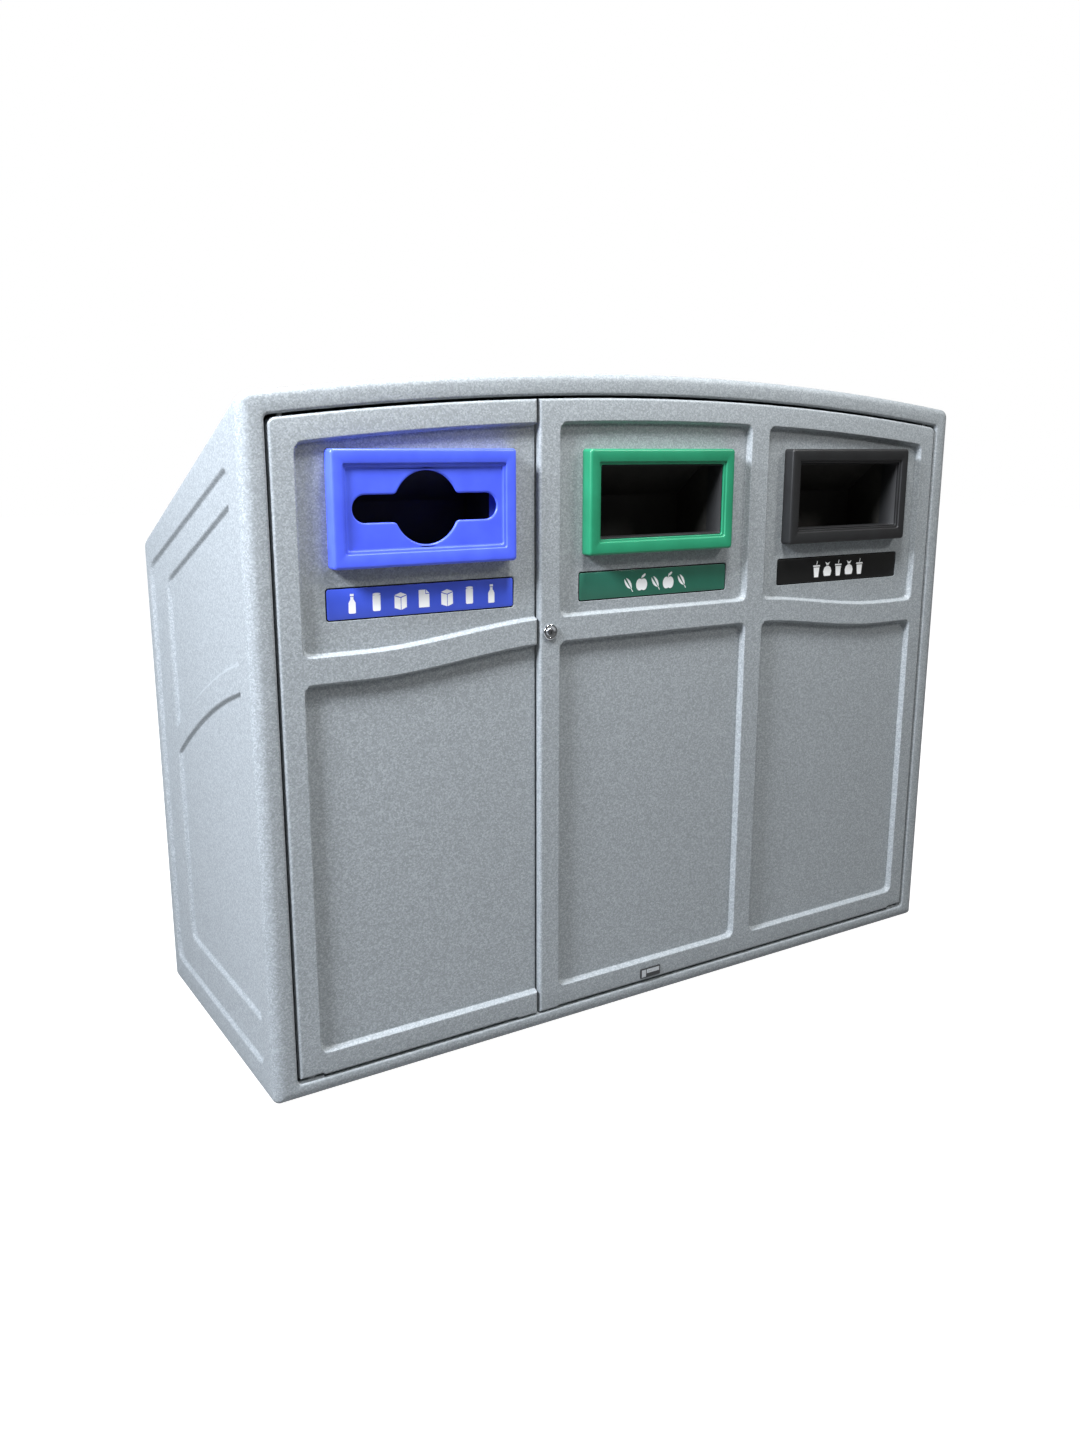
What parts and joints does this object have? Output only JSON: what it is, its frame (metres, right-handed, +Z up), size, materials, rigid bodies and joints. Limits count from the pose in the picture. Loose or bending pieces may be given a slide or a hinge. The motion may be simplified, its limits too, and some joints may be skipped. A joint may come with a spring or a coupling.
{
  "type": "recycling bin station",
  "caption": "Free-standing outdoor bin cabinet with an arched sloping roof, two lockable front doors with posting mouths, and rigid liners inside.",
  "frame": {"origin": "on the floor, at the centre of the overall footprint", "axes": "+Z up, -Y out of the front with the doors, +X to the right of a person facing the front"},
  "size_m": [1.65, 0.664, 1.275],
  "materials": {
    "granite_plastic": "speckled rotomoulded polyethylene",
    "steel": "zinc plated",
    "chrome": "polished",
    "rubber": "moulded",
    "liner_plastic": "moulded",
    "bush_nylon": "moulded nylon",
    "blue_plastic": "satin moulded",
    "green_plastic": "satin moulded",
    "black_plastic": "satin moulded",
    "blue_label": "printed plate",
    "green_label": "printed plate",
    "black_label": "printed plate",
    "nameplate_metal": "blank plate",
    "guide_plastic": "moulded nylon"
  },
  "bodies": {
    "cabinet": {"cabinet_shell": "granite_plastic", "left_hinge_pins": "steel", "right_hinge_pins": "steel", "upper_strike_ferrule": "steel", "lower_strike_ferrule": "steel", "bolt_strike_ferrule": "steel", "door_stops": "rubber", "left_liner": "liner_plastic", "middle_liner": "liner_plastic", "right_liner": "liner_plastic"},
    "left_door": {"left_door_panel": "granite_plastic", "left_door_bushes": "bush_nylon", "mixed_surround": "blue_plastic", "mixed_chute": "blue_plastic", "mixed_mouth_screws": "steel", "mixed_label": "blue_label", "foot_bolt_housing": "guide_plastic", "foot_bolt_screws": "steel"},
    "foot_bolt_body": {"foot_bolt": "steel"},
    "right_door": {"right_door_panel": "granite_plastic", "right_door_bushes": "bush_nylon", "compost_surround": "green_plastic", "compost_chute": "black_plastic", "compost_mouth_screws": "steel", "compost_label": "green_label", "waste_surround": "black_plastic", "waste_chute": "black_plastic", "waste_mouth_screws": "steel", "waste_label": "black_label", "nameplate": "nameplate_metal", "lock_barrel": "chrome", "lock_nut": "steel", "upper_rod_guide": "guide_plastic", "lower_rod_guide": "guide_plastic", "rod_guide_screws": "steel"},
    "lock_core": {"lock_plug": "chrome", "lock_cam": "steel", "cam_screw": "steel"},
    "upper_rod": {"upper_latch_rod": "steel"},
    "lower_rod": {"lower_latch_rod": "steel"}
  },
  "joints": [
    {"name": "left_door_hinge", "type": "hinge", "parent": "cabinet", "child": "left_door", "pos_m": [-0.7535, -0.303, 0.6], "axis": [0, 0, -1], "range_deg": [0, 110]},
    {"name": "right_door_hinge", "type": "hinge", "parent": "cabinet", "child": "right_door", "pos_m": [0.7535, -0.303, 0.6], "axis": [0, 0, 1], "range_deg": [0, 110]},
    {"name": "lock_turn", "type": "hinge", "parent": "right_door", "child": "lock_core", "pos_m": [-0.254, -0.3, 0.801], "axis": [0, -1, 0], "range_deg": [0, 90]},
    {"name": "upper_rod_slide", "type": "slide", "parent": "right_door", "child": "upper_rod", "axis": [0, 0, 1], "range_m": [0, 0.01697]},
    {"name": "lower_rod_slide", "type": "slide", "parent": "right_door", "child": "lower_rod", "axis": [0, 0, -1], "range_m": [0, 0.01697]},
    {"name": "foot_bolt_slide", "type": "slide", "parent": "left_door", "child": "foot_bolt_body", "axis": [0, 0, -1], "range_m": [0, 0.022]}
  ],
  "couplings": [
    {"joint": "lock_turn", "follows": "upper_rod_slide", "rad_per_m": 92.558},
    {"joint": "lower_rod_slide", "follows": "upper_rod_slide", "ratio": 1}
  ]
}
